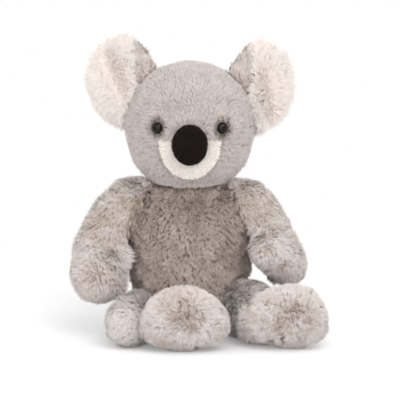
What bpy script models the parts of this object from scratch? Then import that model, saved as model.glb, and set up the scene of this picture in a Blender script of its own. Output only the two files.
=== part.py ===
"""A seated plush koala, in metres, +Z up.

It faces -Y, and the middle of its flat seat is the origin. Left and right are the toy's own, so its
left is on +X. Torso, head, arms, legs and feet are stuffed forms. The head turns on its neck seam, the
arms swing on their shoulder seams and the legs on their hip seams. The ears, muzzle, nose and eyes are
carried by the head, and each eye has a stem with a locking washer inside the head.
"""

from math import cos, pi, radians, sin, sqrt

import bmesh
import bpy
from mathutils import Matrix, Vector

# Clearance between neighbours, reach of a cut past its piece, and depth of the flats on the ground
GAP = 0.0003
OVERRUN = 0.02
GROUND_FLAT = 0.0005

# Mesh fineness of the stuffed forms
SIDES = 26
DOME_STEPS = 5
ROW_STEPS = 2
LIMB_VOXEL = 0.0060
LIMB_SMOOTHING = 4
SMOOTHING_STRENGTH = 0.5

# Torso: rows of height, width and depth, as shares of its height, half width and half depth
TORSO_HEIGHT = 0.128
TORSO_WIDTH = 0.106
TORSO_DEPTH = 0.092
TORSO_RING_SHARES = (
    (0.00, 0.72, 0.70),
    (0.04, 0.87, 0.85),
    (0.14, 0.96, 0.95),
    (0.36, 1.00, 1.00),
    (0.58, 0.99, 0.97),
    (0.74, 0.96, 0.90),
    (0.87, 0.85, 0.80),
    (1.00, 0.58, 0.60),
)

# Head: rows as above, from its seam with the neck upwards
HEAD_HEIGHT = 0.104
HEAD_WIDTH = 0.110
HEAD_DEPTH = 0.100
HEAD_RING_SHARES = (
    (0.00, 0.50, 0.52),
    (0.03, 0.62, 0.64),
    (0.10, 0.79, 0.82),
    (0.21, 0.92, 0.94),
    (0.40, 1.00, 1.00),
    (0.58, 0.98, 0.98),
    (0.74, 0.87, 0.88),
    (0.86, 0.69, 0.71),
    (0.95, 0.43, 0.45),
    (1.00, 0.11, 0.12),
)

# Shoulder seams: flat, leaning in towards the neck, their spread and height as shares of the torso's width
# and height, and how far from their middles an arm lies flat
SHOULDER_SPREAD_SHARE = 0.808
SHOULDER_HEIGHT_SHARE = 0.82
SHOULDER_FORWARD = 0.002
SHOULDER_LEAN_DEG = 24
SHOULDER_REACH = 0.040

# Arms: each stretch has a start and an end, as shares outwards, forwards and up of the arm's length from
# its shoulder, then its thickness at both ends as shares of the arm's thickness
ARM_LENGTH = 0.085
ARM_THICKNESS = 0.048
RIGHT_ARM_SHARES = (
    ((-0.10, 0.00, -0.04), (0.09, 0.01, 0.05), 1.06, 1.06),
    ((0.22, 0.03, -0.05), (0.42, 0.15, -0.37), 1.00, 0.97),
    ((0.42, 0.17, -0.46), (0.41, 0.33, -0.62), 1.00, 1.07),
)
LEFT_ARM_SHARES = (
    ((-0.10, 0.00, -0.04), (0.06, 0.01, 0.05), 1.05, 0.99),
    ((0.17, 0.03, -0.04), (0.41, 0.17, -0.43), 0.95, 0.86),
    ((0.48, 0.21, -0.53), (0.27, 0.51, -0.32), 0.80, 0.78),
)

# Hip seams: flat, across the toy, at the height of the thighs
HIP_SPREAD = 0.064
HIP_FORWARD = 0.020
HIP_POCKET_CLEARANCE = 0.0060

# Legs: the thigh's end and the shin's two ends, as shares outwards and forwards of the leg's length from
# the hip, and the thickness of each end as a share of the leg's thickness
LEG_LENGTH = 0.070
LEG_THICKNESS = 0.047
RIGHT_LEG_SHARES = (
    ((-0.20, 0.00), (0.06, 0.05), 0.78, 0.80),
    ((0.08, 0.20), (0.26, 0.74), 0.88, 0.92),
)
LEFT_LEG_SHARES = (
    ((-0.20, 0.00), (0.10, 0.08), 0.84, 0.88),
    ((0.24, 0.25), (0.38, 0.60), 1.08, 1.02),
)

# Feet: size, the height of the toe's tip, how far the fullest girth lies from the middle as a share of the
# half length, and the place of the middle from the hip
FOOT_LENGTH = 0.076
FOOT_HEIGHT = 0.054
FOOT_DEPTH = 0.045
FOOT_FULLNESS = 2.1
TOE_HEIGHT = 0.017
RIGHT_FOOT_SKEW_SHARE = 0.05
LEFT_FOOT_SKEW_SHARE = -0.18
RIGHT_FOOT_INWARD = 0.0280
RIGHT_FOOT_FORWARD = 0.067
LEFT_FOOT_OUTWARD = 0.0470
LEFT_FOOT_FORWARD = 0.057

# Ears: size, place of the middle beside and above the middle of the head's base, turn to the side, and how
# far the grey back wraps round the inner front, from the ear's middle
EAR_WIDTH = 0.064
EAR_HEIGHT = 0.078
EAR_THICKNESS = 0.018
EAR_BACK_SET = 0.006
RIGHT_EAR_REACH = 0.0570
RIGHT_EAR_RISE = 0.0860
RIGHT_EAR_TURN_DEG = 18
LEFT_EAR_REACH = 0.0592
LEFT_EAR_RISE = 0.0815
LEFT_EAR_TURN_DEG = 28
EAR_WRAP = 0.012
LINING_FULLNESS = 0.004

# Muzzle: the lower half of an oval, lying on the face
MUZZLE_WIDTH = 0.0510
MUZZLE_DROP = 0.0330
MUZZLE_RISE = 0.0425
MUZZLE_THICKNESS = 0.0035

# Nose: an upright egg on the muzzle
NOSE_WIDTH = 0.0310
NOSE_HEIGHT = 0.0350
NOSE_DEPTH = 0.0220
NOSE_RISE = 0.0400
NOSE_STAND_OUT = 0.0015

# Eyes: dome, stem, washer and the recess in the face
EYE_DIAMETER = 0.0092
EYE_DOME_HEIGHT = 0.0040
EYE_RECESS = 0.0018
EYE_SPACING = 0.0552
EYE_RISE = 0.0527
EYE_TURN_DEG = 24
STEM_DIAMETER = 0.0030
STEM_LENGTH = 0.0110
WASHER_DIAMETER = 0.0140
WASHER_THICKNESS = 0.0012
WASHER_DEPTH = 0.0060
EYE_SIDES = 20

RIGHT, LEFT = -1, 1

# Plush and plastic finishes: base colour, roughness and metallic value
FINISHES = {
    "taupe_plush": ((0.37, 0.30, 0.27), 0.95, 0.0),
    "grey_plush": ((0.62, 0.56, 0.53), 0.95, 0.0),
    "white_plush": ((0.86, 0.83, 0.79), 0.95, 0.0),
    "cream_plush": ((0.80, 0.74, 0.69), 0.95, 0.0),
    "black_velour": ((0.012, 0.009, 0.009), 0.85, 0.0),
    "eye_plastic": ((0.015, 0.008, 0.006), 0.12, 0.0),
    "washer_plastic": ((0.80, 0.80, 0.78), 0.45, 0.0),
}

HEAD_BASE = TORSO_HEIGHT + GAP
NECK = Vector((0, 0, TORSO_HEIGHT))
HIP_HEIGHT = LEG_THICKNESS / 2 - GROUND_FLAT


def clear_scene():
    """Remove what the scene holds."""
    for item in list(bpy.data.objects):
        bpy.data.objects.remove(item, do_unlink=True)


def finish(name):
    """The material of that name, made once."""
    found = bpy.data.materials.get(name)
    if found:
        return found
    colour, roughness, metallic = FINISHES[name]
    material = bpy.data.materials.new(name)
    material.use_nodes = True
    shader = material.node_tree.nodes["Principled BSDF"]
    shader.inputs["Base Color"].default_value = (*colour, 1)
    shader.inputs["Roughness"].default_value = roughness
    shader.inputs["Metallic"].default_value = metallic
    return material


def blended(before, start, end, after, share):
    """A row on the smooth curve between two rows of a table, at a share of the way."""
    square, cube = share**2, share**3
    return tuple(
        b + 0.5 * ((c - a) * share + (2 * a - 5 * b + 4 * c - d) * square + (3 * b - a - 3 * c + d) * cube)
        for a, b, c, d in zip(before, start, end, after)
    )


def smooth_rows(rows, steps):
    """The rows of a table with others between them on a smooth curve."""
    last = len(rows) - 1
    found = []
    for index in range(last):
        before, after = rows[max(index - 1, 0)], rows[min(index + 2, last)]
        for step in range(steps):
            found.append(blended(before, rows[index], rows[index + 1], after, step / steps))
    return [*found, rows[last]]


def row_at(rows, height_share):
    """The width and depth shares of a table at a share of its height."""
    fine = smooth_rows(rows, ROW_STEPS)
    for low, high in zip(fine, fine[1:]):
        if high[0] >= height_share:
            along = (height_share - low[0]) / (high[0] - low[0])
            return tuple(a + (b - a) * along for a, b in zip(low[1:], high[1:]))
    return fine[-1][1:]


def oval(centre, across, up, sides=SIDES):
    """Points of an oval about a centre, from its two half axes."""
    turns = (2 * pi * index / sides for index in range(sides))
    return [centre + across * cos(turn) + up * sin(turn) for turn in turns]


def loft(bm, rings):
    """One closed body through rings of equal counts, with a flat cap on each end."""
    loops = [[bm.verts.new(point) for point in ring] for ring in rings]
    for low, high in zip(loops, loops[1:]):
        for index in range(len(low)):
            after = (index + 1) % len(low)
            bm.faces.new((low[index], low[after], high[after], high[index]))
    bm.faces.new(loops[0][::-1])
    bm.faces.new(loops[-1])


def grow(bm, distance):
    """Move every face out by a distance."""
    bm.normal_update()
    moves = [vert.normal * distance * vert.calc_shell_factor() for vert in bm.verts]
    for vert, move in zip(bm.verts, moves):
        vert.co += move


def stacked(rows, width, depth, height, base):
    """A closed body of level ovals, from a table of shares."""
    bm = bmesh.new()
    rings = []
    for level, across, along in smooth_rows(rows, ROW_STEPS):
        centre = Vector((0, 0, base + height * level))
        rings.append(oval(centre, Vector((width / 2 * across, 0, 0)), Vector((0, depth / 2 * along, 0))))
    loft(bm, rings)
    bmesh.ops.recalc_face_normals(bm, faces=bm.faces)
    return bm


def capsule(bm, start, end, start_radius, end_radius):
    """A round-ended stretch of a limb."""
    forward = (end - start).normalized()
    across = forward.orthogonal().normalized()
    up = forward.cross(across)
    quarter = [pi / 2 * step / DOME_STEPS for step in range(DOME_STEPS)]
    rings = []
    for turn in reversed(quarter):
        radius = start_radius * cos(turn)
        rings.append(oval(start - forward * start_radius * sin(turn), across * radius, up * radius))
    for turn in quarter:
        radius = end_radius * cos(turn)
        rings.append(oval(end + forward * end_radius * sin(turn), across * radius, up * radius))
    loft(bm, rings)


def turned(rows, sides=EYE_SIDES):
    """A closed round body along +Z, from rows of height and radius."""
    bm = bmesh.new()
    loft(bm, [oval(Vector((0, 0, z)), Vector((r, 0, 0)), Vector((0, r, 0)), sides) for z, r in rows])
    bmesh.ops.recalc_face_normals(bm, faces=bm.faces)
    return bm


def add_object(name, bm, pivot=Vector()):
    """Put a mesh in the scene with its origin at a pivot."""
    bmesh.ops.recalc_face_normals(bm, faces=bm.faces)
    bmesh.ops.translate(bm, verts=bm.verts, vec=-pivot)
    mesh = bpy.data.meshes.new(name)
    bm.to_mesh(mesh)
    bm.free()
    item = bpy.data.objects.new(name, mesh)
    item.location = pivot
    bpy.context.scene.collection.objects.link(item)
    return item


def piece(name, bm, finish_name, pivot=Vector()):
    """A sub-part with its finish, shaded smooth."""
    item = add_object(name, bm, pivot)
    item.data.materials.append(finish(finish_name))
    item.data.shade_smooth()
    return item


def cutter(name, bm):
    """A hidden body that others are cut with."""
    item = add_object(name, bm)
    item.hide_render = True
    item.display_type = "WIRE"
    return item


def combine(item, other, operation="DIFFERENCE"):
    """Cut a piece with a cutter, or keep what both hold."""
    modifier = item.modifiers.new(other.name, "BOOLEAN")
    modifier.operation = operation
    modifier.solver = "EXACT"
    modifier.object = other


def soften(item):
    """Melt the overlapping stretches of a limb into one stuffed form."""
    remesh = item.modifiers.new("form", "REMESH")
    remesh.mode = "VOXEL"
    remesh.voxel_size = LIMB_VOXEL
    smooth = item.modifiers.new("settle", "SMOOTH")
    smooth.factor = SMOOTHING_STRENGTH
    smooth.iterations = LIMB_SMOOTHING


def behind_plane(name, point, normal):
    """A cutter that fills everything behind a plane, for pieces of limb size."""
    reach = TORSO_HEIGHT + OVERRUN
    bm = bmesh.new()
    bmesh.ops.create_cube(bm, size=1)
    bmesh.ops.scale(bm, verts=bm.verts, vec=Vector((2 * reach, 2 * reach, reach)))
    bmesh.ops.translate(bm, verts=bm.verts, vec=Vector((0, 0, -reach / 2)))
    turn = normal.to_track_quat("Z", "Y").to_matrix().to_4x4()
    bmesh.ops.transform(bm, matrix=Matrix.Translation(point) @ turn, verts=bm.verts)
    return cutter(name, bm)


def shoulder_axis(side):
    """The way a shoulder seam faces, which its arm swings about."""
    lean = radians(SHOULDER_LEAN_DEG)
    return Vector((side * cos(lean), 0, sin(lean)))


def shoulder(side):
    """The middle of a shoulder seam."""
    spread, height = TORSO_WIDTH * SHOULDER_SPREAD_SHARE, TORSO_HEIGHT * SHOULDER_HEIGHT_SHARE
    return Vector((side * spread / 2, -SHOULDER_FORWARD, height))


def hip(side):
    """The middle of a hip seam."""
    return Vector((side * HIP_SPREAD / 2, -HIP_FORWARD, HIP_HEIGHT))


def head_body(distance=0):
    """The stuffed head as one closed body, grown by a distance."""
    bm = stacked(HEAD_RING_SHARES, HEAD_WIDTH, HEAD_DEPTH, HEAD_HEIGHT, HEAD_BASE)
    if distance:
        grow(bm, distance)
    return bm


def face_point(across, rise):
    """The point on the front of the head at a distance across and above its base."""
    width_share, depth_share = row_at(HEAD_RING_SHARES, rise / HEAD_HEIGHT)
    beside = across / (HEAD_WIDTH / 2 * width_share)
    return Vector((across, -HEAD_DEPTH / 2 * depth_share * sqrt(1 - beside**2), HEAD_BASE + rise))


def make_torso():
    """The torso, flat at the seat, the neck and the shoulders, with a round pocket for each thigh."""
    torso = piece(
        "torso", stacked(TORSO_RING_SHARES, TORSO_WIDTH, TORSO_DEPTH, TORSO_HEIGHT, 0), "taupe_plush"
    )
    for side, name, leg in ((RIGHT, "right", RIGHT_LEG_SHARES), (LEFT, "left", LEFT_LEG_SHARES)):
        axis = shoulder_axis(side)
        thickest = max(max(stretch[2:]) for stretch in leg)
        radius = LEG_THICKNESS / 2 * thickest + HIP_POCKET_CLEARANCE
        combine(torso, behind_plane(f"shoulder_flat_{name}", shoulder(side), -axis))
        pocket = turned(((0, radius), (TORSO_WIDTH, radius)), SIDES)
        turn = Vector((side, 0, 0)).to_track_quat("Z", "Y").to_matrix().to_4x4()
        bmesh.ops.transform(pocket, matrix=Matrix.Translation(hip(side)) @ turn, verts=pocket.verts)
        combine(torso, cutter(f"thigh_pocket_{name}", pocket))


def make_arm(side, name, stretches):
    """An arm, flat at its shoulder seam."""
    axis, start = shoulder_axis(side), shoulder(side)

    def place(shares):
        outwards, forwards, upwards = shares
        return start + ARM_LENGTH * Vector((side * outwards, -forwards, upwards))

    bm = bmesh.new()
    for low, high, low_share, high_share in stretches:
        capsule(bm, place(low), place(high), ARM_THICKNESS / 2 * low_share, ARM_THICKNESS / 2 * high_share)
    arm = piece(f"arm_{name}", bm, "grey_plush", start)
    soften(arm)
    flat = turned(((0, SHOULDER_REACH), (ARM_LENGTH, SHOULDER_REACH)), SIDES)
    turn = (-axis).to_track_quat("Z", "Y").to_matrix().to_4x4()
    bmesh.ops.transform(flat, matrix=Matrix.Translation(start + axis * GAP) @ turn, verts=flat.verts)
    combine(arm, cutter(f"arm_flat_{name}", flat))


def foot_body(side, distance=0):
    """A foot lying on its side, toe towards the toy's left, as one closed body grown by a distance."""
    if side == RIGHT:
        middle = hip(side) + Vector((RIGHT_FOOT_INWARD, -RIGHT_FOOT_FORWARD, 0))
        skew = RIGHT_FOOT_SKEW_SHARE
    else:
        middle = hip(side) + Vector((LEFT_FOOT_OUTWARD, -LEFT_FOOT_FORWARD, 0))
        skew = LEFT_FOOT_SKEW_SHARE
    steps = 3 * DOME_STEPS
    full = FOOT_HEIGHT / 2
    droop = 1 - (TOE_HEIGHT + GROUND_FLAT) / full
    rings = []
    for step in range(1, steps):
        along = -cos(pi * step / steps)
        fullest = along + skew * (1 - along**2)
        girth = (1 - abs(fullest) ** FOOT_FULLNESS) ** (1 / FOOT_FULLNESS)
        height = full * girth
        rise = TOE_HEIGHT + droop * height
        centre = Vector((middle.x + FOOT_LENGTH / 2 * along, middle.y, rise))
        rings.append(oval(centre, Vector((0, FOOT_DEPTH / 2 * girth, 0)), Vector((0, 0, height))))
    bm = bmesh.new()
    loft(bm, rings)
    bmesh.ops.recalc_face_normals(bm, faces=bm.faces)
    if distance:
        grow(bm, distance)
    return bm


def make_leg(side, name, stretches, ground):
    """A leg, flat at its hip seam and on the ground, and its foot, which is sewn on at the ankle."""
    start = hip(side)

    def place(shares, thickness):
        outwards, forwards = shares
        spot = start + LEG_LENGTH * Vector((side * outwards, -forwards, 0))
        spot.z = thickness / 2 - GROUND_FLAT
        return spot

    bm = bmesh.new()
    for low, high, low_share, high_share in stretches:
        low_size, high_size = LEG_THICKNESS * low_share, LEG_THICKNESS * high_share
        capsule(bm, place(low, low_size), place(high, high_size), low_size / 2, high_size / 2)
    leg = piece(f"leg_{name}", bm, "grey_plush", start)
    soften(leg)
    combine(leg, behind_plane(f"leg_flat_{name}", start + Vector((side * GAP, 0, 0)), Vector((side, 0, 0))))
    combine(leg, ground)
    combine(leg, cutter(f"ankle_cut_{name}", foot_body(side, GAP)))
    foot = piece(f"foot_{name}", foot_body(side), "grey_plush", start)
    combine(foot, ground)


def make_head():
    """The head, with a stepped hole for each eye, its stem and its washer."""
    head = piece("head", head_body(), "grey_plush", NECK)
    stem, washer = STEM_DIAMETER / 2 + GAP, WASHER_DIAMETER / 2 + GAP
    hole_rows = (
        (OVERRUN, EYE_DIAMETER / 2 + GAP),
        (-GAP, EYE_DIAMETER / 2 + GAP),
        (-GAP, stem),
        (GAP - WASHER_DEPTH, stem),
        (GAP - WASHER_DEPTH, washer),
        (-WASHER_DEPTH - WASHER_THICKNESS - GAP, washer),
        (-WASHER_DEPTH - WASHER_THICKNESS - GAP, stem),
        (-STEM_LENGTH - GAP, stem),
    )
    for side, name in ((RIGHT, "right"), (LEFT, "left")):
        combine(head, cutter(f"eye_hole_{name}", placed_on_eye(turned(hole_rows), side)))


def placed_on_eye(bm, side):
    """Move a body made along +Z to an eye's seat, facing out of the head."""
    turn = radians(EYE_TURN_DEG)
    facing = Vector((side * sin(turn), -cos(turn), 0))
    seat = face_point(side * EYE_SPACING / 2, EYE_RISE) - facing * EYE_RECESS
    matrix = Matrix.Translation(seat) @ facing.to_track_quat("Z", "Y").to_matrix().to_4x4()
    bmesh.ops.transform(bm, matrix=matrix, verts=bm.verts)
    return bm


def make_eye(side, name):
    """A domed eye on its stem, and the washer that locks it behind the fabric."""
    radius, stem, washer = EYE_DIAMETER / 2, STEM_DIAMETER / 2, WASHER_DIAMETER / 2
    turns = [pi / 2 * step / DOME_STEPS for step in range(DOME_STEPS)]
    dome_rows = [(EYE_DOME_HEIGHT * sin(turn), radius * cos(turn)) for turn in turns]
    rows = [(-STEM_LENGTH, stem), (0, stem), *dome_rows]
    piece(f"eye_{name}", placed_on_eye(turned(rows), side), "eye_plastic", NECK)
    plate = turned(((-WASHER_DEPTH - WASHER_THICKNESS, washer), (-WASHER_DEPTH, washer)))
    bore = turned(((-STEM_LENGTH - OVERRUN, stem + GAP), (OVERRUN, stem + GAP)))
    ring = piece(f"eye_washer_{name}", placed_on_eye(plate, side), "washer_plastic", NECK)
    combine(ring, cutter(f"washer_bore_{name}", placed_on_eye(bore, side)))


def muzzle_prism(distance=0):
    """The muzzle's outline, the lower half of an oval, run through the front of the head."""
    half, drop = MUZZLE_WIDTH / 2 + distance, MUZZLE_DROP + distance
    top = HEAD_BASE + MUZZLE_RISE
    turns = [pi + pi * index / SIDES for index in range(SIDES + 1)]
    outline = [(half * cos(turn), top + drop * sin(turn)) for turn in turns]
    if distance:
        outline += [(half, top + distance), (-half, top + distance)]
    bm = bmesh.new()
    loft(bm, [[Vector((x, y, z)) for x, z in outline] for y in (-HEAD_DEPTH, 0)])
    return bm


def make_muzzle(head_clear):
    """The muzzle, a curved pad on the lower face."""
    muzzle = piece("muzzle", head_body(MUZZLE_THICKNESS), "cream_plush", NECK)
    combine(muzzle, cutter("muzzle_outline", muzzle_prism()), "INTERSECT")
    combine(muzzle, head_clear)


def make_nose(head_clear):
    """The nose, an egg seated on the muzzle and the face."""
    middle = face_point(0, NOSE_RISE) - Vector((0, MUZZLE_THICKNESS + NOSE_STAND_OUT, 0))
    bm = bmesh.new()
    bmesh.ops.create_uvsphere(bm, u_segments=SIDES, v_segments=2 * DOME_STEPS + 2, radius=1)
    bmesh.ops.scale(bm, verts=bm.verts, vec=Vector((NOSE_WIDTH / 2, NOSE_DEPTH / 2, NOSE_HEIGHT / 2)))
    bmesh.ops.translate(bm, verts=bm.verts, vec=middle)
    nose = piece("nose", bm, "black_velour", NECK)
    seat = cutter("nose_seat", head_body(MUZZLE_THICKNESS + GAP))
    combine(seat, cutter("nose_seat_outline", muzzle_prism(GAP)), "INTERSECT")
    combine(nose, seat)
    combine(nose, head_clear)


def ear_oval(middle, turn, width, front, back):
    """A lens of an ear's outline, standing out by different depths in front and behind."""
    bm = bmesh.new()
    bmesh.ops.create_uvsphere(bm, u_segments=SIDES, v_segments=2 * DOME_STEPS + 2, radius=1)
    for vert in bm.verts:
        depth = front if vert.co.y < 0 else back
        vert.co = Vector((vert.co.x * width / 2, vert.co.y * depth, vert.co.z * EAR_HEIGHT / 2))
    bmesh.ops.transform(bm, matrix=Matrix.Translation(middle) @ turn, verts=bm.verts)
    return bm


def ear_front(middle, turn, side, distance):
    """The space in front of an ear's mid-plane and outside its wrap, drawn in by a distance, or let out."""
    reach = EAR_HEIGHT + OVERRUN
    bm = bmesh.new()
    bmesh.ops.create_cube(bm, size=1)
    bmesh.ops.scale(bm, verts=bm.verts, vec=Vector((reach, reach, 2 * reach)))
    inner = side * (reach / 2 - EAR_WRAP + distance)
    bmesh.ops.translate(bm, verts=bm.verts, vec=Vector((inner, -reach / 2 - distance, 0)))
    bmesh.ops.transform(bm, matrix=Matrix.Translation(middle) @ turn, verts=bm.verts)
    return bm


def make_ear(side, name, head_clear):
    """An ear: a grey back that wraps round its inner front, and a white lining."""
    if side == RIGHT:
        reach, rise, turn_deg = RIGHT_EAR_REACH, RIGHT_EAR_RISE, RIGHT_EAR_TURN_DEG
    else:
        reach, rise, turn_deg = LEFT_EAR_REACH, LEFT_EAR_RISE, LEFT_EAR_TURN_DEG
    middle = Vector((side * reach, EAR_BACK_SET, HEAD_BASE + rise))
    turn = Matrix.Rotation(side * radians(turn_deg), 4, "Z")
    half = EAR_THICKNESS / 2
    back = piece(f"ear_back_{name}", ear_oval(middle, turn, EAR_WIDTH, half, half), "grey_plush", NECK)
    combine(back, cutter(f"ear_front_{name}", ear_front(middle, turn, side, -GAP / 2)))
    combine(back, head_clear)
    full = half + LINING_FULLNESS
    lining = piece(f"ear_lining_{name}", ear_oval(middle, turn, EAR_WIDTH, full, half), "white_plush", NECK)
    combine(lining, cutter(f"lining_space_{name}", ear_front(middle, turn, side, GAP / 2)), "INTERSECT")
    combine(lining, head_clear)


def main():
    """Build the toy."""
    clear_scene()
    ground = behind_plane("ground", Vector(), Vector((0, 0, 1)))
    make_torso()
    make_arm(RIGHT, "right", RIGHT_ARM_SHARES)
    make_arm(LEFT, "left", LEFT_ARM_SHARES)
    make_leg(RIGHT, "right", RIGHT_LEG_SHARES, ground)
    make_leg(LEFT, "left", LEFT_LEG_SHARES, ground)
    make_head()
    head_clear = cutter("head_clear", head_body(GAP))
    make_muzzle(head_clear)
    make_nose(head_clear)
    for side, name in ((RIGHT, "right"), (LEFT, "left")):
        make_ear(side, name, head_clear)
        make_eye(side, name)


main()
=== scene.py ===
"""A seated plush koala in a plain white studio, in metres, +Z up, facing -Y.

Each stuffed piece is a sewn cover, made from its CAD form, swollen by its fill and held at its seams, with
the pile grown on it lock by lock. Left and right are the toy's own, so its left is on +X. A spot on a piece is
given as the picture shows it: how far across, towards the toy's left, and how far up, in millimetres.
"""

import logging
import math
from dataclasses import dataclass, field
from enum import Enum

import bpy
import numpy as np
from mathutils import Matrix, Vector
from mathutils.bvhtree import BVHTree


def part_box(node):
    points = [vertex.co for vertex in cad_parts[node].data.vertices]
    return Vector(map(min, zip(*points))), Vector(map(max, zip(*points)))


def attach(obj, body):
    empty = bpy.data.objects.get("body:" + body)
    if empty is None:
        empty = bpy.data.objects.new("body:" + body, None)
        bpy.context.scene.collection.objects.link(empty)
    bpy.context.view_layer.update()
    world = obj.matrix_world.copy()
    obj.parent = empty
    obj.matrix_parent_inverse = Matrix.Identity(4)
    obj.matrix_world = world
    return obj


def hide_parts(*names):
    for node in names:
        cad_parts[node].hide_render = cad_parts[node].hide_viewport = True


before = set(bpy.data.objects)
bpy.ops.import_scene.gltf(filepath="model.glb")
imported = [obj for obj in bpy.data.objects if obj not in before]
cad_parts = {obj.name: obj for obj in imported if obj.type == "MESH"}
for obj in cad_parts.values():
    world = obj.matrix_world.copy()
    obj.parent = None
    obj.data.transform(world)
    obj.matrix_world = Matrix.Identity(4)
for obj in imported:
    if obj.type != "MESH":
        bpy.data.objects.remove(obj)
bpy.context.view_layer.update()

# A thing in the scene, and one row for each vertex, lock or hair
Item = bpy.types.Object
Rows = np.ndarray

LOG = logging.getLogger("koala")
MM = 0.001
UP, DOWN = Vector((0, 0, 1)), Vector((0, 0, -1))
# How far the picture looks down on the toy
PICTURE_TILT = math.radians(10)
# How far the pile stays above the surface that the toy sits on
FLOOR_CLEARANCE = 0.2 * MM
# The pile's map: its name, the shades' least and greatest place across it, and where the cover's strip and the
# hairs' strip start and how far they run up it
PILE_MAP = "OFBake"
SHADE_ENDS = (0.02, 0.98)
COVER_FOOT, COVER_RISE = 0.01, 0.09
HAIR_FOOT, HAIR_RISE = 0.14, 0.84


class Side(Enum):
    """The toy's own right and left."""

    RIGHT = -1
    LEFT = 1

    @property
    def word(self) -> str:
        """The side as the names of nodes give it."""
        return self.name.lower()


def linear(code: str) -> tuple[float, float, float, float]:
    """Turn an sRGB hex value into a linear colour.

    Args:
        code: the value, such as "#d3cbc9".

    Returns:
        Red, green, blue and an alpha of 1.
    """
    shares = [int(code[i : i + 2], 16) / 255 for i in (1, 3, 5)]
    return (*[s / 12.92 if s <= 0.04045 else ((s + 0.055) / 1.055) ** 2.4 for s in shares], 1.0)


def add_node(tree: bpy.types.NodeTree, kind: str, settings: dict | None = None, **inputs) -> bpy.types.Node:
    """Add a shader node with its settings and inputs.

    Args:
        tree: the tree that takes the node.
        kind: the node's type name after ShaderNode.
        settings: the node's own settings by name.
        **inputs: each input by name, "_" standing for a space, or by "_" and its number, as a value or as the
            socket that feeds it.

    Returns:
        The new node.
    """
    node = tree.nodes.new(f"ShaderNode{kind}")
    for name, value in (settings or {}).items():
        setattr(node, name, value)
    for name, value in inputs.items():
        socket = node.inputs[int(name[1:])] if name[1:].isdigit() else node.inputs[name.replace("_", " ")]
        if isinstance(value, bpy.types.NodeSocket):
            tree.links.new(value, socket)
        else:
            socket.default_value = value
    return node


def new_material(name: str) -> tuple[bpy.types.Material, bpy.types.NodeTree]:
    """Start a material.

    Args:
        name: the real material's name.

    Returns:
        The material and its emptied tree.
    """
    material = bpy.data.materials.new(name)
    material.use_nodes = True
    material.node_tree.nodes.clear()
    return material, material.node_tree


def set_ramp(node: bpy.types.Node, stops: tuple[tuple[float, str], ...]) -> bpy.types.NodeSocket:
    """Give a colour ramp its stops.

    Args:
        node: the ramp.
        stops: place and sRGB hex value of each.

    Returns:
        The ramp's colour output.
    """
    elements = node.color_ramp.elements
    while len(elements) > 1:
        elements.remove(elements[-1])
    elements[0].position, elements[0].color = stops[0][0], linear(stops[0][1])
    for place, code in stops[1:]:
        elements.new(place).color = linear(code)
    return node.outputs["Color"]


@dataclass(frozen=True)
class PlushFinish:
    """Polyester plush: matt, soft hair that is darker towards its roots.

    Across the pile's own map lie its shades, from the deepest to the palest, and up it lies each hair from
    root to tip.
    """

    name: str
    slot: str
    roots: tuple[tuple[float, str], ...]
    tips: tuple[tuple[float, str], ...]
    tips_from: float = 0.15
    tips_to: float = 0.75
    roughness: float = 0.9
    specular: float = 0.25
    sheen: float = 0.12
    sheen_roughness: float = 0.5

    def material(self) -> bpy.types.Material:
        """Make the plush's material, once."""
        found = bpy.data.materials.get(self.name)
        if found:
            return found
        material, tree = new_material(self.name)
        place = add_node(tree, "UVMap", {"uv_map": PILE_MAP})
        parts = add_node(tree, "SeparateXYZ", Vector=place.outputs["UV"])
        tips, roots = (
            set_ramp(add_node(tree, "ValToRGB", Fac=parts.outputs["X"]), stops)
            for stops in (self.tips, self.roots)
        )
        along = add_node(
            tree, "MapRange", {"interpolation_type": "SMOOTHSTEP"}, Value=parts.outputs["Y"], From_Min=self.tips_from,
            From_Max=self.tips_to,
        )
        colour = add_node(tree, "Mix", {"data_type": "RGBA"}, _0=along.outputs["Result"], _6=roots, _7=tips)
        shader = add_node(
            tree, "BsdfPrincipled", Base_Color=colour.outputs[2], Roughness=self.roughness,
            Specular_IOR_Level=self.specular, Sheen_Weight=self.sheen, Sheen_Roughness=self.sheen_roughness,
        )
        add_node(tree, "OutputMaterial", Surface=shader.outputs["BSDF"])
        return material


# Long-pile plush, light grey over tan roots: the deepest shade is the brown of opened roots
GREY_PLUSH = PlushFinish(
    "grey polyester plush", "grey_plush",
    roots=((0.0, "#6d5f57"), (0.3, "#a08b7c"), (0.6, "#b6a9a2"), (1.0, "#c9bfba")),
    tips=((0.0, "#8f8077"), (0.3, "#c9b7a9"), (0.6, "#dbd2ce"), (1.0, "#ebe5e2")),
)
# The head's grey plush is sheared shorter; the darkest end of its shades is painted shade, used only round the eyes
SHEARED_PLUSH = PlushFinish(
    "grey sheared plush", "grey_plush", roots=((0.0, "#3e3431"), (0.3, "#a0938d"), (1.0, "#c6bcb8")),
    tips=((0.0, "#5f5450"), (0.3, "#bdb2ae"), (0.7, "#cfc6c3"), (1.0, "#dcd5d3")),
)
# The body's plush is taupe, with deeper gaps between its locks
TAUPE_PLUSH = PlushFinish(
    "taupe polyester plush", "taupe_plush", roots=((0.0, "#68584f"), (0.5, "#8a7a72"), (1.0, "#a5978f")),
    tips=((0.0, "#9a897e"), (0.5, "#bdaca2"), (1.0, "#d8cbc4")),
)
# Ear fronts: long off-white fluff, beige where it parts over the hollow, and deepened there by painted shade
WHITE_PLUSH = PlushFinish(
    "off-white long-pile plush", "white_plush", roots=((0.0, "#e1cec1"), (0.4, "#ebdfd6"), (1.0, "#f1eae4")),
    tips=((0.0, "#ebdbd0"), (0.4, "#f3e9e2"), (1.0, "#f7f1ec")),
)
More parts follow.
